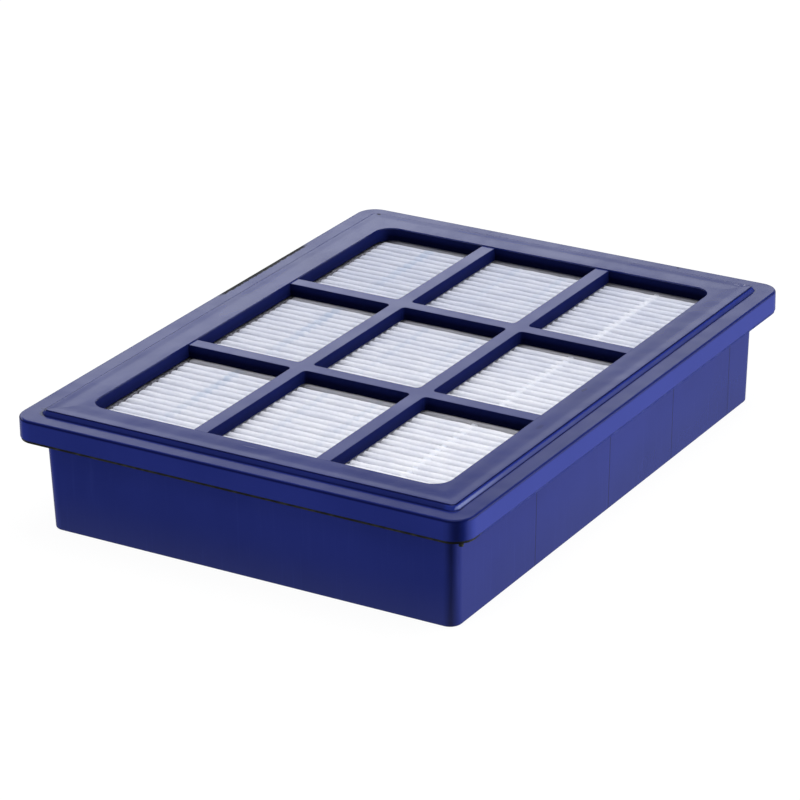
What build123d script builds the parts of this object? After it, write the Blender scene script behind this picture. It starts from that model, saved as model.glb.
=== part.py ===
from build123d import *
from math import acos, atan2, cos, hypot, pi, sin
import os

# Pleated exhaust filter cartridge: a moulded tray with a flange and a window grid on top,
# a pleated filter pack potted inside it, and a rubber seal under the flange.
# Origin: centre of the bottom rim. X runs along the short side, Y along the long side, +Z up.
# All sizes are in millimetres.

# Flange
frame_width = 130.0
frame_depth = 172.0
flange_top = 31.5
flange_thickness = 5.4
flange_corner_radius = 5.6
flange_edge_radius = 0.6
flange_skirt = 2.0
seal_channel_depth = 3.2

# Tray below the flange, drawn in towards the bottom
body_inset_top = 5.5
body_inset_bottom = 6.2
body_corner_radius = 3.2
body_edge_radius = 0.5
wall_thickness = 2.6
cavity_corner_radius = 1.0

# Raised panel that carries the windows
panel_inset = 5.1
panel_rise = 1.1
panel_slope = 35.0
panel_corner_radius = 2.2
panel_edge_radius = 0.8
panel_roof = 2.3
panel_lip = 2.0

# Window grid, with ribs a little lower than the panel
window_border = 13.82
window_columns = 3
window_rows = 3
window_corner_radius = 5.0
window_wall = 3.86
rib_width = 3.85
rib_drop = 0.27
crossing_fillet = 1.3
grid_clearance = 0.12

# Pleated pack and the potting that holds it
pleat_pitch = 2.93
pleat_wander = 0.16
media_thickness = 0.5
crease_rise = 0.3
pack_floor = 2.6
potting_side = 6.7
potting_end = 3.65
potting_drop = 0.5
potting_floor = 3.4

# Hot melt glue lines across the pleats
glue_positions = (-35.3, -7.6, 6.8, 34.4)
glue_width = 1.6
glue_set_down = 0.1

# Rubber seal pressed into the channel under the flange
seal_lip = 0.7
seal_lip_inset = 0.25
seal_clearance = 0.15
seal_nib_radius = 0.6
seal_nib_length = 0.5

# Levels and sizes that follow from the ones above
flange_bottom = flange_top - flange_thickness
panel_top = flange_top + panel_rise
rib_top = panel_top - rib_drop
pack_top = panel_top - window_wall
grid_bottom = pack_top + grid_clearance
cavity_width = frame_width - 2 * (body_inset_top + wall_thickness)
cavity_depth = frame_depth - 2 * (body_inset_top + wall_thickness)
array_width = frame_width - 2 * window_border
array_depth = frame_depth - 2 * window_border
window_width = (array_width - (window_columns - 1) * rib_width) / window_columns
window_depth = (array_depth - (window_rows - 1) * rib_width) / window_rows
pack_width = cavity_width - 2 * potting_side
pack_depth = cavity_depth - 2 * potting_end

# The folded sheet runs over crests and under valleys of one radius, measured to its mid surface.
# Its outside is round there and its inside is creased to two corners, crease_rise beyond the centre.
sheet_span = pack_depth - media_thickness
pleat_count = round(sheet_span / pleat_pitch + 0.5)
fold_radius = sheet_span / (2 * (2 * pleat_count - 1))
crest_level = pack_top - fold_radius - media_thickness / 2
valley_level = pack_floor + fold_radius + media_thickness / 2

os.makedirs("parts", exist_ok=True)


def inset_outline(inset, radius, mode=Mode.ADD):
    """Rounded rectangle that lies inset from the outer face of the flange."""
    return RectangleRounded(frame_width - 2 * inset, frame_depth - 2 * inset, radius, mode=mode)


def outer_edges(part, level):
    """Edges round the outside of the largest flat face at one level."""
    faces = part.faces().filter_by(Plane.XY)
    return faces.filter_by_position(Axis.Z, level - 0.01, level + 0.01).sort_by(SortBy.AREA)[-1].outer_wire().edges()


def polar(centre, radius, angle):
    """Point at an angle on a circle, in the plane of the pleats' section."""
    return (centre[0] + radius * cos(angle), centre[1] + radius * sin(angle))


def fold_centres():
    """Centres of the crests and of the valleys, a little unevenly spaced, as a folded pack is."""
    first = -sheet_span / 2
    crests = []
    valleys = []
    for index in range(pleat_count):
        inner = 0 < index < pleat_count - 1
        shift = pleat_wander * sin(2.4 * index) if inner else 0.0
        crests.append((first + fold_radius * (4 * index + 1) + shift, crest_level))
    for index in range(pleat_count - 1):
        shift = pleat_wander * sin(2.4 * index + 2.0)
        valleys.append((first + fold_radius * (4 * index + 3) + shift, valley_level))
    return crests, valleys


def flank_angle(crest, valley, side):
    """Direction square to the flank that joins a crest and a valley, on one side of the crest."""
    across = valley[0] - crest[0]
    down = valley[1] - crest[1]
    return atan2(down, across) + side * acos(2 * fold_radius / hypot(across, down))


def round_fold(centre, first, last):
    """Outside of a fold, drawn as an arc. Gives the points where its flanks meet it."""
    radius = fold_radius + media_thickness / 2
    start = polar(centre, radius, first)
    end = polar(centre, radius, last)
    ThreePointArc(start, polar(centre, radius, (first + last) / 2), end)
    return start, end


def creased_fold(centre, first, last):
    """Inside of a fold, drawn as a flat between two corners. Gives the points where its flanks meet it."""
    reach = hypot(fold_radius - media_thickness / 2, crease_rise)
    lean = atan2(crease_rise, fold_radius - media_thickness / 2)
    turn = 1 if last > first else -1
    start = polar(centre, reach, first + turn * lean)
    end = polar(centre, reach, last - turn * lean)
    Line(start, end)
    return start, end


def sheet_side(crests, valleys, crest_fold, valley_fold):
    """Draws one side of the sheet, from the foot of its first flank to the foot of its last."""
    arriving = pi
    foot = None
    for index, crest in enumerate(crests):
        last = index == pleat_count - 1
        leaving = 0.0 if last else flank_angle(crest, valleys[index], 1)
        start, end = crest_fold(crest, arriving, leaving)
        Line(foot or (start[0], pack_floor), start)
        if last:
            Line(end, (end[0], pack_floor))
        else:
            valley = valleys[index]
            arriving = flank_angle(crests[index + 1], valley, -1) % (2 * pi)
            start, foot = valley_fold(valley, leaving + pi, arriving + pi)
            Line(end, start)


# Frame: tray, flange, raised panel and window grid in one moulding
with BuildPart() as frame:
    with BuildSketch(Plane.XY):
        inset_outline(body_inset_bottom, body_corner_radius)
    with BuildSketch(Plane.XY.offset(flange_bottom)):
        inset_outline(body_inset_top, body_corner_radius)
    loft(ruled=True)
    fillet(outer_edges(frame, 0.0), body_edge_radius)

    with BuildSketch(Plane.XY.offset(flange_bottom)):
        inset_outline(0.0, flange_corner_radius)
    extrude(amount=flange_thickness)
    fillet(outer_edges(frame, flange_top), flange_edge_radius)

    with BuildSketch(Plane.XY.offset(flange_top)):
        inset_outline(panel_inset, panel_corner_radius)
    extrude(amount=panel_rise, taper=panel_slope)
    fillet(outer_edges(frame, panel_top), panel_edge_radius)

    # Cavity for the pack, and the cored ring between the lip of the grid and the tray wall
    with BuildSketch(Plane.XY):
        RectangleRounded(cavity_width, cavity_depth, cavity_corner_radius)
    extrude(amount=grid_bottom, mode=Mode.SUBTRACT)
    with BuildSketch(Plane.XY.offset(grid_bottom)):
        RectangleRounded(cavity_width, cavity_depth, cavity_corner_radius)
        lip_radius = window_corner_radius + panel_lip
        RectangleRounded(array_width + 2 * panel_lip, array_depth + 2 * panel_lip, lip_radius, mode=Mode.SUBTRACT)
    extrude(amount=panel_top - panel_roof - grid_bottom, mode=Mode.SUBTRACT)

    # Channel for the seal, between the skirt of the flange and the tray wall
    with BuildSketch(Plane.XY.offset(flange_bottom)):
        inset_outline(flange_skirt, flange_corner_radius - flange_skirt)
        inset_outline(body_inset_top, body_corner_radius, mode=Mode.SUBTRACT)
    extrude(amount=seal_channel_depth, mode=Mode.SUBTRACT)

    # Ribs set down from the panel, then the windows between them
    with BuildSketch(Plane.XY.offset(rib_top)):
        RectangleRounded(array_width, array_depth, window_corner_radius)
    extrude(amount=rib_drop, mode=Mode.SUBTRACT)
    with BuildSketch(Plane.XY.offset(grid_bottom)) as windows:
        RectangleRounded(array_width, array_depth, window_corner_radius)
        with GridLocations(window_width + rib_width, 0, window_columns - 1, 1):
            Rectangle(rib_width, array_depth, mode=Mode.SUBTRACT)
        with GridLocations(0, window_depth + rib_width, 1, window_rows - 1):
            Rectangle(array_width, rib_width, mode=Mode.SUBTRACT)
        inner_x = array_width / 2 - 0.1
        inner_y = array_depth / 2 - 0.1
        crossings = windows.vertices().filter_by(lambda v: abs(v.X) < inner_x and abs(v.Y) < inner_y)
        fillet(crossings, crossing_fillet)
    extrude(amount=rib_top - grid_bottom, mode=Mode.SUBTRACT)
frame.part.label = "frame"
export_step(frame.part, "parts/frame.step")

# Pleated media: one folded sheet, its ends cut flush with the pack
with BuildPart() as pleated_media:
    with BuildSketch(Plane.YZ):
        with BuildLine():
            crest_centres, valley_centres = fold_centres()
            sheet_side(crest_centres, valley_centres, round_fold, creased_fold)
            sheet_side(crest_centres, valley_centres, creased_fold, round_fold)
            for end in (-1, 1):
                outer_end = end * pack_depth / 2
                Line((outer_end, pack_floor), (outer_end - end * media_thickness, pack_floor))
        make_face()
    extrude(amount=pack_width / 2, both=True)
pleated_media.part.label = "pleated_media"
export_step(pleated_media.part, "parts/pleated_media.step")

# Glue lines: webs of hot melt that keep the flanks of the pleats apart
for number, position in enumerate(glue_positions, start=1):
    with BuildPart() as glue_line:
        with BuildSketch(Plane.XY.offset(valley_level + glue_set_down)):
            with Locations((position, 0)):
                Rectangle(glue_width, pack_depth - 2 * media_thickness)
        extrude(amount=crest_level - valley_level - 2 * glue_set_down)
        add(pleated_media.part, mode=Mode.SUBTRACT)
    glue_line.part.label = f"glue_line_{number}"
    export_step(glue_line.part, f"parts/glue_line_{number}.step")

# Potting: the cast band that bonds the pack to the tray wall all round
with BuildPart() as potting:
    with BuildSketch(Plane.XY.offset(potting_floor)):
        RectangleRounded(cavity_width, cavity_depth, cavity_corner_radius)
        Rectangle(pack_width, pack_depth, mode=Mode.SUBTRACT)
    extrude(amount=pack_top - potting_drop - potting_floor)
potting.part.label = "potting"
export_step(potting.part, "parts/potting.step")

# Seal: a rubber ring with a stem in the channel and a flat lip under the flange
with BuildPart() as seal:
    with BuildSketch(Plane.XY.offset(flange_bottom - seal_lip)):
        inset_outline(seal_lip_inset, flange_corner_radius - seal_lip_inset)
        inset_outline(body_inset_top - seal_clearance, body_corner_radius, mode=Mode.SUBTRACT)
    extrude(amount=seal_lip)
    with BuildSketch(Plane.XY.offset(flange_bottom)):
        inset_outline(flange_skirt + seal_clearance, flange_corner_radius - flange_skirt - seal_clearance)
        inset_outline(body_inset_top - seal_clearance, body_corner_radius, mode=Mode.SUBTRACT)
    extrude(amount=seal_channel_depth - seal_clearance)
    # Nib where the ring was gated, on the outer edge at the front right corner
    corner_reach = (flange_corner_radius - seal_lip_inset) * sin(pi / 4)
    nib_x = frame_width / 2 - flange_corner_radius + corner_reach
    nib_y = frame_depth / 2 - flange_corner_radius + corner_reach
    with Locations((nib_x, -nib_y, flange_bottom - seal_lip)):
        Cylinder(seal_nib_radius, seal_nib_length, align=(Align.CENTER, Align.CENTER, Align.MAX))
seal.part.label = "seal"
export_step(seal.part, "parts/seal.step")
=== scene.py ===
"""Looks for the pleated exhaust filter cartridge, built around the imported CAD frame.

Lengths are millimetres unless a comment says metres, and MM turns them into Blender's metres. The cartridge
stands on its bottom rim, with X along its short side and Y along its long side. The camera looks from the
front (-Y) and the right (+X).
"""
import math
import random

import bpy
from mathutils import Matrix, Vector

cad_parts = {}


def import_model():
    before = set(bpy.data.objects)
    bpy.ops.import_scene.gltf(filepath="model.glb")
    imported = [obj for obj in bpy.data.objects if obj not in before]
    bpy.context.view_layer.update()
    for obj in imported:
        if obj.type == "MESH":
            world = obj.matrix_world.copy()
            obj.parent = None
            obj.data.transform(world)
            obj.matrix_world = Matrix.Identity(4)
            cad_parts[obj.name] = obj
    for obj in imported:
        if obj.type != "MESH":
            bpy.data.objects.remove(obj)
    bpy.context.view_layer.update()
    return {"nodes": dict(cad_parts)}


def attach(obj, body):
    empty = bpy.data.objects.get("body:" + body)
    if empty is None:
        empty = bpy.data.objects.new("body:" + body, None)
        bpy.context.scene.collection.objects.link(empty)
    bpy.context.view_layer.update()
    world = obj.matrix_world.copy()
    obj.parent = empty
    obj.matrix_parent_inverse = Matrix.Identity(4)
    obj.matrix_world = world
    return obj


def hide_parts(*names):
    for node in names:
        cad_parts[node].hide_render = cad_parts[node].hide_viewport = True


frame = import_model()
nodes = frame["nodes"]
MM = 0.001

# Sizes of the cartridge, as the CAD has them
FLANGE_TOP = 31.5
PACK_TOP = 28.74
PACK_FLOOR = 2.6
PACK_HALF_Y = 74.25
SHEET = 0.5
PLEATS = 51
PLEAT_WANDER = 0.16
# Radius of the folds at the middle of the sheet, and the levels of their centres
FOLD = (2 * PACK_HALF_Y - SHEET) / (2 * (2 * PLEATS - 1))
CREST_Z = PACK_TOP - FOLD - SHEET / 2
VALLEY_Z = PACK_FLOOR + FOLD + SHEET / 2
# X of the glue lines, and how far the tops of their webs are lowered
GLUE_X = (-35.3, -7.6, 6.8, 34.4)
GLUE_LOW = (0.62, 0.62, 0.62, 0.14)
# The room in the tray that the potting fills round the pack
CAVITY_HALF_X = 56.9
CAVITY_HALF_Y = 77.9
POTTING_TOP = 28.24
POTTING_FLOOR = 3.4
# Outlines seen from above and levels of the frame
RIB_TOP = 32.33
FLANGE_HALF_X = 65.0
FLANGE_HALF_Y = 86.0
FLANGE_CORNER = 5.6
PANEL_HALF_X = 59.9
PANEL_HALF_Y = 80.9
PANEL_CORNER = 2.2
GRID_HALF_X = 51.18
GRID_HALF_Y = 72.18
GRID_CORNER = 5.0
WINDOW_DEPTH = 45.55
WINDOW_STEP = 49.4
# The visual sheet is 0.5 wider at each end than the CAD's, and the visual potting starts where it ends
SHEET_HALF_X = 50.7

# Marks on the right wall: Y of the joint lines of the mould
JOINT_LINES = (-40.5, -2.0, 33.0, 66.0)

# Handling marks on the top: X, Y, half length along X, half length along Y, strength
DARK_MARKS = ((-57.2, 79.3, 0.8, 0.6, 0.9), (-51.1, 81.7, 1.3, 0.45, 0.8), (50.1, 69.3, 0.4, 0.9, 0.7),
              (34.2, 84.8, 0.5, 0.5, 0.8), (27.8, -35.4, 0.7, 0.4, 0.5), (54.4, -30.0, 0.8, 1.9, 0.25),
              (53.0, -4.3, 0.7, 1.5, 0.25), (-60.4, -77.5, 1.6, 0.6, 0.3))
PALE_MARKS = ((55.0, 78.6, 1.1, 0.18, 0.7), (56.8, 79.6, 0.3, 1.0, 0.6), (-1.4, -74.5, 2.6, 0.16, 0.25))
# Stains of glue on the paper: X, reach, strength
STAINS = ((GLUE_X[0], 1.9, 0.70), (GLUE_X[1], 1.4, 0.35), (GLUE_X[2], 1.4, 0.30))

# Colours of the plastic, linear red, green and blue
NAVY = (0.0112, 0.0185, 0.130, 1)
NAVY_LIGHTER = (0.0135, 0.0215, 0.147, 1)
SHADE_LINE_BLACK = (0.0006, 0.0014, 0.030, 1)
SLOPE_LIT_BLUE = (0.018, 0.036, 0.29, 1)
GLINT_PALE = (0.20, 0.24, 0.52, 1)
CORNER_SHADE = (0.002, 0.006, 0.075, 1)
FOOT_SHADE_GREY = (0.0115, 0.0165, 0.078, 1)
FLANGE_LIT_BLUE = (0.024, 0.037, 0.215, 1)
NEAR_SHADE = (0.003, 0.007, 0.085, 1)
DRAW_MARK = (0.020, 0.029, 0.165, 1)
JOINT_DARK = (0.004, 0.007, 0.055, 1)
RIB_SHEEN = (0.10, 0.11, 0.25, 1)
SCUFF_BLACK = (0.0010, 0.0010, 0.0016, 1)
MARK_DARK = (0.0015, 0.0020, 0.0080, 1)
MARK_PALE = (0.30, 0.31, 0.42, 1)
WALL_SHADE_BLACK = (0.0003, 0.0010, 0.016, 1)

# Colours of the paper
PAPER_FRONT = (0.83, 0.84, 0.90, 1), (0.76, 0.775, 0.855, 1)
PAPER_BACK_SHADE = (0.68, 0.70, 0.795, 1), (0.61, 0.635, 0.745, 1)
PAPER_LEFT_SHADE = (0.42, 0.45, 0.58, 1)
PAPER_GROOVE_LIGHT = (0.94, 0.945, 0.99, 1)
PAPER_FIBRE = (0.62, 0.65, 0.78, 1)
STAIN_BLUE = (0.44, 0.52, 0.67, 1)
RIDGE_WHITE = (0.93, 0.935, 0.97, 1)
LAST_PLEAT_SHADE = (0.22, 0.21, 0.24, 1)

# Colours of the glue, the potting and the rubber
GLUE_PALE = (0.72, 0.74, 0.82, 1)
GLUE_CLOUD = (0.62, 0.65, 0.75, 1)
POTTING_DARK = (0.025, 0.025, 0.038, 1)
POTTING_GREY = (0.25, 0.25, 0.29, 1)
POTTING_SPECK = (0.55, 0.55, 0.61, 1)
RUBBER_SKIN = (0.010, 0.010, 0.008, 1), (0.030, 0.031, 0.024, 1)
RUBBER_SHEEN_BLUE = (0.012, 0.019, 0.118, 1), (0.030, 0.040, 0.15, 1)

# Level directions seen from the camera: away from it, and to its right
AWAY_X, AWAY_Y = -0.515, 0.857
ACROSS_X, ACROSS_Y = 0.857, 0.515

# Lamps: name, azimuth, elevation, strength, apparent size in degrees
LAMPS = (("top_lamp", 135, 68, 2.05, 50), ("front_lamp", -15, 60, 0.90, 40),
         ("under_right", 125, -10, 6.4, 12), ("under_front", -58, -10, 3.6, 16))

# Camera solved from the photo: angles in degrees, focal length in pixels of an 800 pixel wide picture
CAMERA_AZIMUTH = 31.02736
CAMERA_ELEVATION = 23.19483
CAMERA_ROLL = -0.88299
CAMERA_TARGET = (0, 0, 14.2)
CAMERA_DISTANCE = 991.788
CAMERA_TO_RIGHT = -2.887 - 0.13
CAMERA_UPWARDS = 2.769 + 0.13
FOCAL_PIXELS = 3813.602
PICTURE_PIXELS = 800
SENSOR_WIDTH = 36.0
CLIP_METRES = (0.05, 50.0)


# Small helpers

def mesh_object(name, points, faces, smooth=True):
    """Object from points in millimetres."""
    mesh = bpy.data.meshes.new(name)
    mesh.from_pydata([(x * MM, y * MM, z * MM) for x, y, z in points], [], faces)
    mesh.validate()
    mesh.polygons.foreach_set("use_smooth", [smooth] * len(mesh.polygons))
    mesh.update()
    piece = bpy.data.objects.new(name, mesh)
    bpy.context.scene.collection.objects.link(piece)
    return piece


def put_on(piece, node, material):
    """Puts a new piece in the place of a CAD node."""
    piece.data.materials.clear()
    piece.data.materials.append(material)
    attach(piece, "root")
    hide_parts(node)


class Nodes:
    """Short calls for building a node tree."""

    def __init__(self, tree):
        self.tree = tree

    def new(self, kind, inputs=None, **settings):
        node = self.tree.nodes.new(kind)
        for key, value in settings.items():
            setattr(node, key, value)
        for key, value in (inputs or {}).items():
            self.set(node.inputs[key], value)
        return node

    def set(self, socket, value):
        if isinstance(value, bpy.types.NodeSocket):
            self.tree.links.new(value, socket)
        else:
            socket.default_value = value

    def math(self, operation, first, *others):
        """Result of an operation on one value, or on two or more from left to right."""
        result = first
        for other in others or (0.0,):
            node = self.new("ShaderNodeMath", {0: result, 1: other}, operation=operation)
            result = node.outputs[0]
        return result

    def product(self, *values):
        return self.math("MULTIPLY", *values)

    def total(self, *values):
        return self.math("ADD", *values)

    def largest(self, *values):
        return self.math("MAXIMUM", *values)

    def away(self, value, place):
        """Distance between a value and a place."""
        return self.math("ABSOLUTE", self.math("SUBTRACT", value, place))

    def ramp(self, value, low, high, out_low=0.0, out_high=1.0, smooth=True):
        """Goes from out_low to out_high while a value goes from low to high."""
        kind = "SMOOTHSTEP" if smooth else "LINEAR"
        node = self.new("ShaderNodeMapRange", {0: value, 1: low, 2: high, 3: out_low, 4: out_high},
                        interpolation_type=kind)
        return node.outputs[0]

    def band(self, value, rise_from, rise_to, fall_from, fall_to):
        """1 between a rise and a fall, 0 outside them."""
        rise = self.ramp(value, rise_from, rise_to)
        return self.product(rise, self.ramp(value, fall_from, fall_to, 1.0, 0.0))

    def noise(self, vector, scale, detail=2.0, roughness=0.5):
        node = self.new("ShaderNodeTexNoise", {"Vector": vector, "Scale": scale, "Detail": detail,
                                               "Roughness": roughness})
        return node.outputs[0]

    def mix(self, factor, a, b):
        node = self.new("ShaderNodeMix", data_type="RGBA")
        self.set(node.inputs[0], factor)
        self.set(node.inputs[6], a)
        self.set(node.inputs[7], b)
        return node.outputs[2]

    def tones(self, value, low, high, a, b):
        """Colour that goes from a to b while a value goes from low to high."""
        return self.mix(self.ramp(value, low, high), a, b)

    def scaled(self, vector, scale):
        node = self.new("ShaderNodeMapping", {"Vector": vector, "Scale": scale})
        return node.outputs[0]


def new_material(name):
    """Material with a principled shader. Gives the material, its node builder and the shader."""
    material = bpy.data.materials.new(name)
    material.use_nodes = True
    build = Nodes(material.node_tree)
    shader = material.node_tree.nodes["Principled BSDF"]
    return material, build, shader


def add_bump(build, shader, strength, height, normal=None):
    """Unevenness of the surface. The height is in millimetres."""
    inputs = {"Strength": strength, "Distance": MM, "Height": height}
    if normal is not None:
        inputs["Normal"] = normal
    build.set(shader.inputs["Normal"], build.new("ShaderNodeBump", inputs).outputs[0])


def position_mm(build):
    """Place on the object in millimetres, as a vector and as X, Y and Z."""
    coords = build.new("ShaderNodeTexCoord").outputs["Object"]
    vector = build.scaled(coords, (1000.0, 1000.0, 1000.0))
    split = build.new("ShaderNodeSeparateXYZ", {0: vector})
    return vector, split.outputs[0], split.outputs[1], split.outputs[2]


# Materials

def outline_inset(build, x, y, half_x, half_y, radius):
    """Distance inwards from a rounded rectangle round the centre, negative outside it."""
    over_x = build.math("SUBTRACT", build.math("ABSOLUTE", x), half_x - radius)
    over_y = build.math("SUBTRACT", build.math("ABSOLUTE", y), half_y - radius)
    out_x = build.largest(over_x, 0.0)
    out_y = build.largest(over_y, 0.0)
    outside = build.math("SQRT", build.total(build.product(out_x, out_x), build.product(out_y, out_y)))
    inside = build.math("MINIMUM", build.largest(over_x, over_y), 0.0)
    return build.math("SUBTRACT", radius, build.total(outside, inside))


def marks(build, x, y, rows):
    """Soft oval marks seen from above, each row with its centre, half lengths and strength."""
    spots = []
    for place_x, place_y, half_x, half_y, strength in rows:
        over_x = build.math("DIVIDE", build.math("SUBTRACT", x, place_x), half_x)
        over_y = build.math("DIVIDE", build.math("SUBTRACT", y, place_y), half_y)
        away = build.total(build.product(over_x, over_x), build.product(over_y, over_y))
        spots.append(build.product(build.ramp(away, 0.3, 1.0, 1.0, 0.0), strength))
    return build.largest(*spots)


def near_shade_lines(build, y, z, flange, panel, at_right):
    """Painted shade: dark lines on the near sides, along the flange's rounded edge, and the panel's foot and
    rounded edge.
    """
    at_front = build.ramp(y, -78.5, -77.0, 1.0, 0.0)
    rim = build.product(build.ramp(flange, 0.12, 0.45, 1.0, 0.0),
                        build.ramp(z, FLANGE_TOP - 0.75, FLANGE_TOP - 0.4))
    reach = build.ramp(at_front, 0.0, 1.0, -0.55, -1.0)
    foot = build.band(panel, reach, -0.1, -0.05, 0.2)
    edge = build.band(panel, 0.55, 0.80, 1.05, 1.25)
    near = build.largest(build.product(at_front, 0.85), build.product(at_right, 0.70))
    return build.product(build.largest(foot, edge, rim), near)


def left_scuff(build, vector, x, y):
    """Ragged black scuff along the left edge of the flange."""
    ragged = build.product(build.math("SUBTRACT", build.noise(vector, 0.55, 4.0, 0.6), 0.5), 1.3)
    across = build.ramp(build.math("ABSOLUTE", build.total(x, 64.15, ragged)), 0.60, 0.85, 1.0, 0.0)
    return build.product(across, build.band(y, 6.0, 11.0, 49.0, 53.0))


def top_relief(build, vector, x, y, panel):
    """Height of the top: waves, a sunk border, a fall to the left and the front, a rise at the near right."""
    wave = build.product(build.noise(vector, 0.06, 2.0), 0.10)
    sink = build.total(build.ramp(panel, 1.0, 3.7, 0.0, -0.032), build.ramp(panel, 3.3, 7.6, 0.0, 0.031))
    left = build.math("MINIMUM", x, 0.0)
    crown = build.total(build.product(left, left, -0.000030), build.product(y, y, -0.000020))
    front = build.product(build.ramp(y, -86.0, -60.0, -0.115, 0.0, False),
                          build.ramp(x, -60.0, 66.0, 1.7, 0.6, False))
    right = build.product(build.ramp(x, 51.0, 66.0, 0.0, 0.085, False), build.ramp(y, -20.0, 50.0, 1.0, 0.0))
    fall = build.total(front, right, build.ramp(x, -65.0, -51.0, -0.06, 0.0, False))
    return build.total(wave, sink, build.total(crown, fall))


def plastic_material():
    """Dark blue moulded plastic with a satin surface, soft flow marks and light handling wear."""
    material, build, shader = new_material("navy_moulding")
    vector, x, y, z = position_mm(build)
    base = build.tones(build.noise(vector, 0.035, 3.0), 0.3, 0.7, NAVY, NAVY_LIGHTER)

    def paint(mask, strength, colour):
        """Mixes a colour into the base where a mask is."""
        return build.mix(build.product(mask, strength), base, colour)

    flange = outline_inset(build, x, y, FLANGE_HALF_X, FLANGE_HALF_Y, FLANGE_CORNER)
    panel = outline_inset(build, x, y, PANEL_HALF_X, PANEL_HALF_Y, PANEL_CORNER)
    grid = outline_inset(build, x, y, GRID_HALF_X, GRID_HALF_Y, GRID_CORNER)
    at_right = build.ramp(x, 56.0, 57.5)
    right_wall = build.ramp(x, 57.5, 58.5)
    on_top = build.ramp(z, FLANGE_TOP - 1.0, FLANGE_TOP - 0.6)
    on_flange = build.ramp(z, 25.5, 26.5)
    below_flange = build.ramp(z, 25.0, 26.0, 1.0, 0.0)

    # Painted shade: dark lines along the near rounded edges and along the foot of the panel
    base = paint(build.product(near_shade_lines(build, y, z, flange, panel, at_right), on_top), 1.0, SHADE_LINE_BLACK)

    # Painted light: on the right the slope of the panel is painted a clearer blue, with a painted pale glint
    # from the near corner on
    slope = build.product(build.band(panel, -0.1, 0.15, 0.6, 0.9), at_right, on_top)
    base = paint(slope, 0.50, SLOPE_LIT_BLUE)
    corner_glint = build.product(build.band(panel, 0.0, 0.2, 0.35, 0.6), build.ramp(x, 59.0, 59.3), on_top)
    base = paint(corner_glint, build.ramp(y, -79.8, -52.0, 0.75, 0.0), GLINT_PALE)

    # Painted shade darkens the flange round the near corner and the walls towards the foot, which turn
    # greyer; painted light makes the flange a little lighter on its right face
    corner = build.product(build.ramp(build.math("SUBTRACT", x, y), 146.2, 147.5), on_flange)
    base = paint(corner, 0.7, CORNER_SHADE)
    base = paint(build.ramp(z, 0.0, 24.0, 1.0, 0.0), 0.42, FOOT_SHADE_GREY)
    face = build.product(build.ramp(x, 63.5, 64.6), on_flange)
    base = paint(face, build.ramp(z, FLANGE_TOP - 0.6, FLANGE_TOP - 0.2, 0.42, 0.0), FLANGE_LIT_BLUE)

    # Painted shade: the right wall is darker towards the near corner
    base = paint(build.product(right_wall, below_flange), build.ramp(y, -80.0, 10.0, 0.30, 0.0), NEAR_SHADE)

    # Fine draw marks up the walls, and the joint lines of the mould on the right
    draw = build.noise(build.scaled(vector, (1.3, 1.3, 0.012)), 1.0, 3.0, 0.6)
    base = paint(build.ramp(draw, 0.56, 0.74, 0.0, 0.35), below_flange, DRAW_MARK)
    joints = build.largest(*[build.ramp(build.away(y, place), 0.12, 0.34, 1.0, 0.0) for place in JOINT_LINES])
    base = paint(build.product(joints, right_wall, below_flange), 0.75, JOINT_DARK)

    # Painted sheen: the tops of the ribs are painted a little paler
    rib = build.product(build.ramp(grid, 0.0, 0.4), build.ramp(z, RIB_TOP - 0.06, RIB_TOP - 0.02))
    base = paint(rib, 0.30, RIB_SHEEN)

    scuff = left_scuff(build, vector, x, y)
    base = paint(scuff, 1.0, SCUFF_BLACK)
    dark = build.product(marks(build, x, y, DARK_MARKS), on_top)
    base = paint(dark, 1.0, MARK_DARK)
    base = paint(marks(build, x, y, PALE_MARKS), on_top, MARK_PALE)

    # The walls of the windows are dull, with painted shade that makes them nearly black where they face the
    # front, and darker near the paper
    wall = build.product(build.ramp(grid, -0.25, -0.10),
                         build.band(z, 26.0, 27.0, RIB_TOP - 0.14, RIB_TOP - 0.06))
    facing = build.new("ShaderNodeSeparateXYZ", {0: build.new("ShaderNodeNewGeometry").outputs["Normal"]})
    shade = build.total(build.ramp(facing.outputs[1], -0.9, -0.4, 0.74, 0.20),
                        build.ramp(z, 29.6, 31.6, 0.30, 0.0))
    base = paint(wall, shade, WALL_SHADE_BLACK)
    build.set(shader.inputs["Base Color"], base)

    smudge = build.noise(build.scaled(vector, (0.10, 0.06, 0.3)), 1.0, 4.0, 0.65)
    fine = build.noise(vector, 1.6, 4.0, 0.6)
    rough = build.total(build.ramp(smudge, 0.35, 0.75, 0.13, 0.19), build.ramp(fine, 0.3, 0.7, 0.0, 0.02))
    build.set(shader.inputs["Roughness"], build.total(rough, build.product(wall, 0.5)))
    dull = build.largest(wall, scuff, dark)
    build.set(shader.inputs["Specular IOR Level"], build.ramp(dull, 0.0, 1.0, 0.5, 0.03))
    shader.inputs["IOR"].default_value = 1.47

    edge = build.new("ShaderNodeBevel", {"Radius": 0.22 * MM}, samples=4)
    add_bump(build, shader, 1.0, top_relief(build, vector, x, y, panel), edge.outputs[0])
    return material


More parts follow.
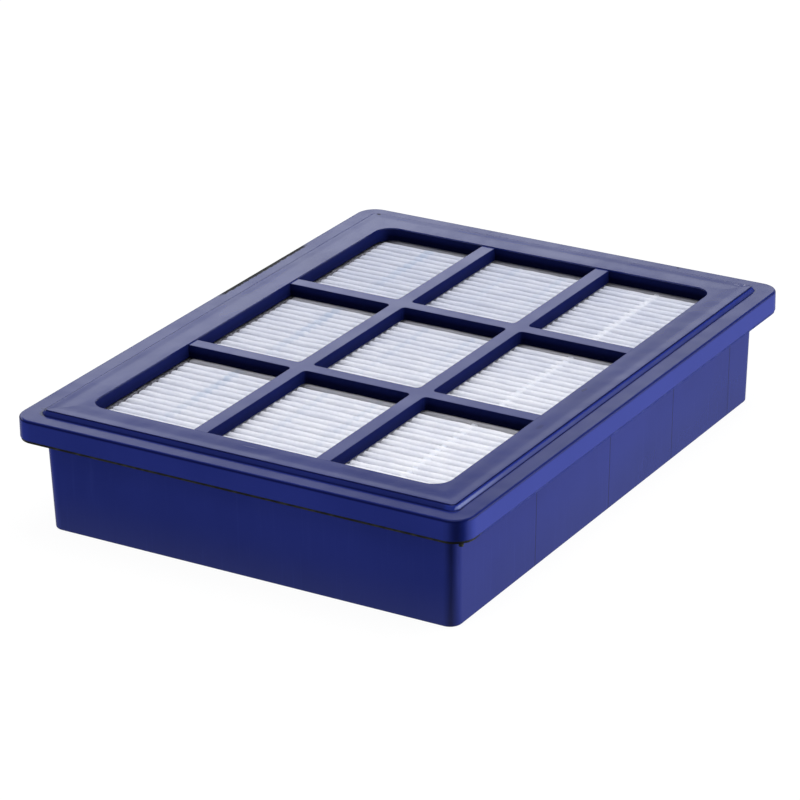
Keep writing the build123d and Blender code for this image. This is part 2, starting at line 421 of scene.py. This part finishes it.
def paper_material():
    """White filter paper: fibrous, matte, with the stain of the glue lines where they cross the crests."""
    material, build, shader = new_material("filter_paper")
    vector, x, y, z = position_mm(build)
    fibre = build.noise(build.scaled(vector, (0.6, 1.6, 1.6)), 1.4, 5.0, 0.65)
    blotch = build.noise(vector, 0.16, 3.0)
    # Painted shade: the paper is darker and bluer towards the back and towards the left
    front = build.tones(blotch, 0.35, 0.7, *PAPER_FRONT)
    back = build.tones(blotch, 0.35, 0.7, *PAPER_BACK_SHADE)
    paper = build.tones(y, -45.0, 62.0, front, back)
    paper = build.mix(build.ramp(x, -45.0, 40.0, 0.28, 0.0, False), paper, PAPER_LEFT_SHADE)
    # Painted light: the paper is paler down in the grooves, lifting their shade
    paper = build.mix(build.ramp(z, PACK_TOP - 2.4, PACK_TOP - 0.35, 0.75, 0.0), paper, PAPER_GROOVE_LIGHT)
    paper = build.mix(build.ramp(fibre, 0.45, 0.8, 0.0, 0.25), paper, PAPER_FIBRE)

    # Stains of the glue lines, which grow towards the far end of each window
    edge = build.product(build.math("SUBTRACT", build.noise(vector, 0.9, 3.0), 0.5), 1.6)
    bands = []
    for place, reach, strength in STAINS:
        away = build.math("ABSOLUTE", build.total(build.math("SUBTRACT", x, place), edge))
        bands.append(build.ramp(away, reach, reach * 0.35, 0.0, strength))
    patch = build.noise(build.scaled(vector, (0.3, 0.55, 0.3)), 1.0, 2.0)
    depth = build.math("MODULO", build.total(y, GRID_HALF_Y), WINDOW_STEP)
    stain = build.product(build.largest(*bands), build.ramp(patch, 0.30, 0.60, 0.45, 1.0),
                          build.ramp(depth, 8.0, WINDOW_DEPTH, 0.30, 1.0))
    colour = build.mix(stain, paper, STAIN_BLUE)

    # The last glue line is a whiter ridge, and painted shade darkens the last pleat of each window by the far
    # wall
    ridge = build.total(build.math("SUBTRACT", x, GLUE_X[3]), build.product(edge, 0.5))
    colour = build.mix(build.ramp(build.math("ABSOLUTE", ridge), 0.5, 1.6, 0.30, 0.0), colour, RIDGE_WHITE)
    far_wall_shade = build.ramp(depth, WINDOW_DEPTH - 2.6, WINDOW_DEPTH - 0.6, 0.0, 0.6)
    colour = build.mix(far_wall_shade, colour, LAST_PLEAT_SHADE)
    build.set(shader.inputs["Base Color"], colour)
    build.set(shader.inputs["Roughness"], build.ramp(stain, 0.0, 1.0, 0.92, 0.45))
    shader.inputs["Specular IOR Level"].default_value = 0.25
    fuzz = build.product(build.noise(vector, 7.0, 3.0, 0.6), 0.02)
    add_bump(build, shader, 0.8, build.total(build.product(fibre, 0.05), fuzz))
    return material


def glue_material():
    """Milky hot melt with a waxy surface."""
    material, build, shader = new_material("hot_melt_glue")
    vector = position_mm(build)[0]
    cloud = build.noise(vector, 0.8, 3.0)
    build.set(shader.inputs["Base Color"], build.tones(cloud, 0.35, 0.7, GLUE_PALE, GLUE_CLOUD))
    build.set(shader.inputs["Roughness"], build.ramp(cloud, 0.3, 0.7, 0.5, 0.65))
    add_bump(build, shader, 0.6, build.product(build.noise(vector, 2.5, 2.0), 0.08))
    return material


def potting_material():
    """Dark grey cast potting, rough, with pale specks."""
    material, build, shader = new_material("potting_resin")
    vector = position_mm(build)[0]
    grain = build.noise(vector, 1.1, 5.0, 0.7)
    speck = build.noise(vector, 3.4, 3.0, 0.6)
    colour = build.tones(grain, 0.36, 0.66, POTTING_DARK, POTTING_GREY)
    colour = build.mix(build.ramp(speck, 0.58, 0.70, 0.0, 0.85), colour, POTTING_SPECK)
    build.set(shader.inputs["Base Color"], colour)
    build.set(shader.inputs["Roughness"], build.ramp(grain, 0.3, 0.7, 0.85, 0.5))
    add_bump(build, shader, 0.9, build.product(build.total(grain, build.product(speck, 0.4)), 0.5))
    return material


def rubber_material():
    """Black rubber with a slight olive cast and a dusty, finely pitted skin, with a painted bluish sheen on
    the right.
    """
    material, build, shader = new_material("seal_rubber")
    vector, x, y, z = position_mm(build)
    dust = build.noise(vector, 0.5, 4.0, 0.6)
    skin = build.tones(dust, 0.4, 0.75, *RUBBER_SKIN)
    blue = build.tones(dust, 0.45, 0.7, *RUBBER_SHEEN_BLUE)
    # Painted sheen: bluer towards the near right corner
    right_sheen = build.product(build.ramp(x, 62.0, 64.0), build.ramp(y, -82.0, -74.0))
    build.set(shader.inputs["Base Color"], build.mix(right_sheen, skin, blue))
    build.set(shader.inputs["Roughness"], build.ramp(dust, 0.3, 0.7, 0.55, 0.75))
    add_bump(build, shader, 0.4, build.product(build.noise(vector, 5.0, 3.0), 0.06))
    return material


# The pleated sheet

class Wander:
    """Smooth irregular offset along a pleat, from a few sines with seeded phases."""

    def __init__(self, rng, size, lengths):
        self.terms = [(rng.uniform(0.5, 1.0) * size / len(lengths),
                       2 * math.pi / (length * rng.uniform(0.8, 1.25)),
                       rng.uniform(0, 2 * math.pi)) for length in lengths]

    def at(self, x):
        return sum(size * math.sin(rate * x + phase) for size, rate, phase in self.terms)


def fold_centres():
    """Centres of the crests and valleys in the sheet's section, spaced as in the CAD."""
    first = -PACK_HALF_Y + SHEET / 2
    crests = []
    valleys = []
    for index in range(PLEATS):
        inner = 0 < index < PLEATS - 1
        shift = PLEAT_WANDER * math.sin(2.4 * index) if inner else 0.0
        crests.append(first + FOLD * (4 * index + 1) + shift)
    for index in range(PLEATS - 1):
        valleys.append(first + FOLD * (4 * index + 3) + PLEAT_WANDER * math.sin(2.4 * index + 2.0))
    return crests, valleys


# X of the sheet's sections, closer together where its left end droops
DROOP_REACH = 1.2
DROOP = 0.42
WIDE_STEPS = 68
STATIONS = [-SHEET_HALF_X + step for step in (0.0, 0.1, 0.25, 0.45, 0.75, DROOP_REACH)] + [
    -SHEET_HALF_X + 2.0 + (2 * SHEET_HALF_X - 2.0) * step / WIDE_STEPS for step in range(WIDE_STEPS + 1)]
CREST_STEPS = 6
VALLEY_STEPS = 4


def pleated_sheet():
    """One folded sheet with both faces, whose crests wander a little and dip here and there."""
    rng = random.Random(7)
    crests, valleys = fold_centres()
    crest_sway = [Wander(rng, 0.16, (17.0, 41.0, 8.0)) for _ in crests]
    crest_dip = [Wander(rng, 0.11, (13.0, 31.0, 6.0)) for _ in crests]
    crest_level = [rng.uniform(-0.22, -0.10) for _ in crests]
    valley_sway = [Wander(rng, 0.12, (23.0, 47.0)) for _ in valleys]
    valley_lift = [rng.uniform(0.04, 0.16) for _ in valleys]

    def section(x):
        """Matched points on the upper and lower face of the sheet at one X."""
        upper = []
        lower = []
        droop = DROOP * max(0.0, 1.0 - (x + SHEET_HALF_X) / DROOP_REACH) ** 2
        y_first = crests[0] - FOLD
        upper.append((y_first - SHEET / 2, PACK_FLOOR))
        lower.append((y_first + SHEET / 2, PACK_FLOOR))
        for index, crest in enumerate(crests):
            end_pleat = index in (0, PLEATS - 1)
            sway = 0.0 if end_pleat else crest_sway[index].at(x)
            level = CREST_Z + crest_level[index] + min(0.09, crest_dip[index].at(x)) - droop
            for step in range(CREST_STEPS + 1):
                angle = math.pi * (1 - step / CREST_STEPS)
                c, s = math.cos(angle), math.sin(angle)
                upper.append((crest + sway + (FOLD + SHEET / 2) * c, level + (FOLD + SHEET / 2) * s))
                lower.append((crest + sway + (FOLD - SHEET / 2) * c, level + (FOLD - SHEET / 2) * s))
            if index == PLEATS - 1:
                break
            valley = valleys[index] + valley_sway[index].at(x)
            level = VALLEY_Z + valley_lift[index]
            for step in range(VALLEY_STEPS + 1):
                angle = math.pi * (1 + step / VALLEY_STEPS)
                c, s = math.cos(angle), math.sin(angle)
                upper.append((valley + (FOLD - SHEET / 2) * c, level + (FOLD - SHEET / 2) * s))
                lower.append((valley + (FOLD + SHEET / 2) * c, level + (FOLD + SHEET / 2) * s))
        y_last = crests[-1] + FOLD
        upper.append((y_last + SHEET / 2, PACK_FLOOR))
        lower.append((y_last - SHEET / 2, PACK_FLOOR))
        return upper, lower

    points = []
    faces = []
    for x in STATIONS:
        upper, lower = section(x)
        points += [(x, y, z) for y, z in upper] + [(x, y, z) for y, z in lower]
    count = len(upper)
    row = 2 * count
    for station in range(len(STATIONS) - 1):
        a, b = station * row, (station + 1) * row
        for i in range(count - 1):
            faces.append((a + i, b + i, b + i + 1, a + i + 1))
            faces.append((a + count + i, a + count + i + 1, b + count + i + 1, b + count + i))
        faces.append((a, a + count, b + count, b))
        faces.append((a + count - 1, b + count - 1, b + row - 1, a + row - 1))
    last = (len(STATIONS) - 1) * row
    for i in range(count - 1):
        faces.append((i, i + 1, count + i + 1, count + i))
        faces.append((last + i, last + count + i, last + count + i + 1, last + i + 1))
    return mesh_object("pleated_sheet", points, faces)


# Glue webs

def glue_webs(number, place):
    """The webs of one glue line, with sagging tops between the crests and beads under the valleys."""
    rng = random.Random(40 + number)
    crests, valleys = fold_centres()
    points = []
    faces = []
    # Sections across a valley, points round each, and how far the ends go into the flanks
    across = 5
    ring = 6
    embed = 0.2
    drift = Wander(rng, 0.5, (37.0, 90.0))

    def web(y_low, y_high, z_low, z_high, up):
        """Web between two flanks. up is +1 where its free edge is the top one and -1 where not."""
        width = rng.uniform(0.90, 1.15)
        centre = place + drift.at(y_low) + rng.uniform(-0.12, 0.12)
        sag = rng.uniform(0.02, 0.14)
        base = len(points)
        for j in range(across):
            t = j / (across - 1)
            y = y_low + (y_high - y_low) * t
            free = (z_high if up > 0 else z_low) - up * sag * math.sin(math.pi * t)
            rooted = z_low if up > 0 else z_high
            spread = width * (1.0 - 0.25 * math.sin(math.pi * t))
            shoulder = free - up * 0.22
            outline = ((-0.8, rooted), (-1.0, shoulder), (-0.55, free),
                       (0.55, free), (1.0, shoulder), (0.8, rooted))
            points.extend((centre + spread * share, y, level) for share, level in outline)
        for j in range(across - 1):
            a, b = base + ring * j, base + ring * (j + 1)
            for i in range(ring):
                k = (i + 1) % ring
                quad = (a + i, a + k, b + k, b + i)
                faces.append(quad if up > 0 else quad[::-1])
        first = tuple(range(base, base + ring))
        end = tuple(range(base + ring * (across - 1), base + ring * across))
        faces.append(first[::-1] if up > 0 else first)
        faces.append(end if up > 0 else end[::-1])

    reach = FOLD - SHEET / 2 + embed
    for valley in valleys:
        top = CREST_Z + rng.uniform(0.44, 0.66) - GLUE_LOW[number - 1]
        web(valley - reach, valley + reach, VALLEY_Z + 0.1, top, 1)
    for crest in crests:
        bottom = VALLEY_Z - rng.uniform(0.0, 0.40)
        web(crest - reach, crest + reach, bottom, CREST_Z - 0.1, -1)
    return mesh_object(f"glue_webs_{number}", points, faces)


# Potting

def potting_band():
    """Cast band round the pack, with an uneven poured top and underside."""
    rng = random.Random(3)
    step_x, step_y = 114, 156
    xs = [-CAVITY_HALF_X + 2 * CAVITY_HALF_X * i / step_x for i in range(step_x + 1)]
    ys = [-CAVITY_HALF_Y + 2 * CAVITY_HALF_Y * j / step_y for j in range(step_y + 1)]

    def snap(values, edge):
        """Moves the line nearest to the pack's edge onto it, so that the band meets the pack."""
        for side in (-1, 1):
            nearest = min(range(len(values)), key=lambda i: abs(values[i] - side * edge))
            values[nearest] = side * edge
        return values

    xs = snap(xs, SHEET_HALF_X)
    ys = snap(ys, PACK_HALF_Y)
    points = []
    index = {}

    def point(i, j, top):
        key = (i, j, top)
        if key not in index:
            rough = rng.uniform(-0.15, 0.20) if top else rng.uniform(0.0, 0.30)
            index[key] = len(points)
            points.append((xs[i], ys[j], POTTING_TOP - rough if top else POTTING_FLOOR + rough))
        return index[key]

    def solid(i, j):
        if not (0 <= i < step_x and 0 <= j < step_y):
            return False
        x = (xs[i] + xs[i + 1]) / 2
        y = (ys[j] + ys[j + 1]) / 2
        return abs(x) > SHEET_HALF_X or abs(y) > PACK_HALF_Y

    faces = []
    for i in range(step_x):
        for j in range(step_y):
            if not solid(i, j):
                continue
            corners = ((i, j), (i + 1, j), (i + 1, j + 1), (i, j + 1))
            faces.append(tuple(point(*c, True) for c in corners))
            faces.append(tuple(point(*c, False) for c in reversed(corners)))
            neighbours = ((i, j - 1), (i + 1, j), (i, j + 1), (i - 1, j))
            for side, neighbour in enumerate(neighbours):
                if not solid(*neighbour):
                    p, q = corners[side], corners[(side + 1) % 4]
                    faces.append((point(*p, False), point(*q, False), point(*q, True), point(*p, True)))
    return mesh_object("potting_band", points, faces)


# Object

plastic = plastic_material()
rubber = rubber_material()
for node, material in (("frame", plastic), ("seal", rubber)):
    for slot in nodes[node].material_slots:
        slot.material = material

put_on(pleated_sheet(), "pleated_media", paper_material())
glue = glue_material()
for number, place in enumerate(GLUE_X, start=1):
    put_on(glue_webs(number, place), f"glue_line_{number}", glue)
put_on(potting_band(), "potting", potting_material())


# Floor, light and camera

def floor():
    """Pale floor that shows white to the camera, keeps the shadow and looks dim in the plastic."""
    size = 6000.0
    corners = [(-size, -size, 0), (size, -size, 0), (size, size, 0), (-size, size, 0)]
    piece = mesh_object("floor", corners, [(0, 1, 2, 3)], False)
    piece.visible_shadow = False
    material = bpy.data.materials.new("pale_floor")
    material.use_nodes = True
    tree = material.node_tree
    tree.nodes.clear()
    build = Nodes(tree)
    path = build.new("ShaderNodeLightPath")
    shade = build.new("ShaderNodeBsdfDiffuse", {"Color": (0.08, 0.08, 0.08, 1)})
    glow = build.new("ShaderNodeEmission", {"Color": (1, 1, 1, 1), "Strength": 0.94})
    seen = build.new("ShaderNodeAddShader")
    tree.links.new(shade.outputs[0], seen.inputs[0])
    tree.links.new(glow.outputs[0], seen.inputs[1])
    plain = build.new("ShaderNodeBsdfDiffuse", {"Color": (0.22, 0.22, 0.23, 1)})
    coords = build.new("ShaderNodeTexCoord").outputs["Object"]
    along = build.new("ShaderNodeSeparateXYZ", {0: coords}).outputs[1]
    # In metres along Y
    dim_in_front = build.ramp(along, -0.10, -0.07, 0.02, 0.28)
    mirrored = build.new("ShaderNodeEmission", {"Color": (1, 1, 1, 1), "Strength": dim_in_front})
    to_glossy = build.new("ShaderNodeMixShader", {0: path.outputs["Is Glossy Ray"]})
    tree.links.new(plain.outputs[0], to_glossy.inputs[1])
    tree.links.new(mirrored.outputs[0], to_glossy.inputs[2])
    to_camera = build.new("ShaderNodeMixShader", {0: path.outputs["Is Camera Ray"]})
    tree.links.new(to_glossy.outputs[0], to_camera.inputs[1])
    tree.links.new(seen.outputs[0], to_camera.inputs[2])
    out = build.new("ShaderNodeOutputMaterial")
    tree.links.new(to_camera.outputs[0], out.inputs[0])
    piece.data.materials.append(material)


def world():
    """White to the camera and dim to the rest, with panels behind, overhead and on the right for gloss."""
    surroundings = bpy.data.worlds.new("studio")
    bpy.context.scene.world = surroundings
    surroundings.use_nodes = True
    tree = surroundings.node_tree
    tree.nodes.clear()
    build = Nodes(tree)
    direction = build.new("ShaderNodeTexCoord").outputs["Generated"]
    split = build.new("ShaderNodeSeparateXYZ", {0: direction})
    x, y, z = split.outputs[0], split.outputs[1], split.outputs[2]
    behind = build.total(build.product(x, AWAY_X), build.product(y, AWAY_Y))
    lateral = build.total(build.product(x, ACROSS_X), build.product(y, ACROSS_Y))

    # Panel behind, brighter towards the horizon and to the left
    fall = build.math("EXPONENT", build.product(build.math("SUBTRACT", z, 0.394), -24.9))
    sideways = build.math("EXPONENT", build.product(lateral, -6.2))
    panel = build.math("MINIMUM", build.product(fall, sideways, 0.85), 1.7)
    panel = build.product(panel, build.band(z, 0.22, 0.30, 0.44, 0.52), build.ramp(behind, 0.2, 0.6))
    overhead = build.ramp(z, 0.93, 0.975, 0.0, 0.9)
    side = build.product(build.ramp(lateral, 0.846, 0.878, 0.0, 1.7), build.band(z, 0.05, 0.15, 0.50, 0.62))
    glossy = build.total(panel, overhead, build.total(side, 0.03))
    path = build.new("ShaderNodeLightPath")
    strength = build.new("ShaderNodeMix", data_type="FLOAT")
    build.set(strength.inputs[0], path.outputs["Is Glossy Ray"])
    build.set(strength.inputs[2], 0.35)
    build.set(strength.inputs[3], glossy)
    shown = build.new("ShaderNodeMix", data_type="FLOAT")
    build.set(shown.inputs[0], path.outputs["Is Camera Ray"])
    build.set(shown.inputs[2], strength.outputs[0])
    build.set(shown.inputs[3], 1.0)
    tint = build.mix(path.outputs["Is Glossy Ray"], (1, 1, 1, 1), (0.95, 0.98, 1.06, 1))
    background = build.new("ShaderNodeBackground", {"Color": tint, "Strength": shown.outputs[0]})
    out = build.new("ShaderNodeOutputWorld")
    tree.links.new(background.outputs[0], out.inputs[0])


def direction_of(azimuth, elevation):
    """Direction from two angles in degrees. Azimuth 0 is in front (-Y) and 90 on the right (+X)."""
    az, el = math.radians(azimuth), math.radians(elevation)
    return Vector((math.sin(az) * math.cos(el), -math.cos(az) * math.cos(el), math.sin(el)))


def lamp(name, azimuth, elevation, strength, size):
    """Distant soft lamp that is not seen in the plastic."""
    light = bpy.data.lights.new(name, "SUN")
    light.energy = strength
    light.angle = math.radians(size)
    piece = bpy.data.objects.new(name, light)
    bpy.context.scene.collection.objects.link(piece)
    piece.rotation_euler = direction_of(azimuth, elevation).to_track_quat("Z", "Y").to_euler()
    piece.visible_glossy = False


def camera():
    """Camera with a long lens, above the front right corner."""
    azimuth, roll = math.radians(CAMERA_AZIMUTH), math.radians(CAMERA_ROLL)
    back = direction_of(CAMERA_AZIMUTH, CAMERA_ELEVATION)
    right = Vector((math.cos(azimuth), math.sin(azimuth), 0.0))
    up = back.cross(right)
    turned_right = right * math.cos(roll) + up * math.sin(roll)
    turned_up = up * math.cos(roll) - right * math.sin(roll)
    place = Vector(CAMERA_TARGET) + back * CAMERA_DISTANCE + right * CAMERA_TO_RIGHT + up * CAMERA_UPWARDS
    data = bpy.data.cameras.new("camera")
    data.sensor_width = SENSOR_WIDTH
    data.lens = FOCAL_PIXELS * SENSOR_WIDTH / PICTURE_PIXELS
    data.clip_start, data.clip_end = CLIP_METRES
    piece = bpy.data.objects.new("camera", data)
    bpy.context.scene.collection.objects.link(piece)
    rotation = Matrix((turned_right, turned_up, back)).transposed()
    piece.matrix_world = Matrix.Translation(place * MM) @ rotation.to_4x4()
    bpy.context.scene.camera = piece


floor()
world()
for row in LAMPS:
    lamp(*row)
camera()
bpy.context.scene.view_settings.view_transform = "Standard"
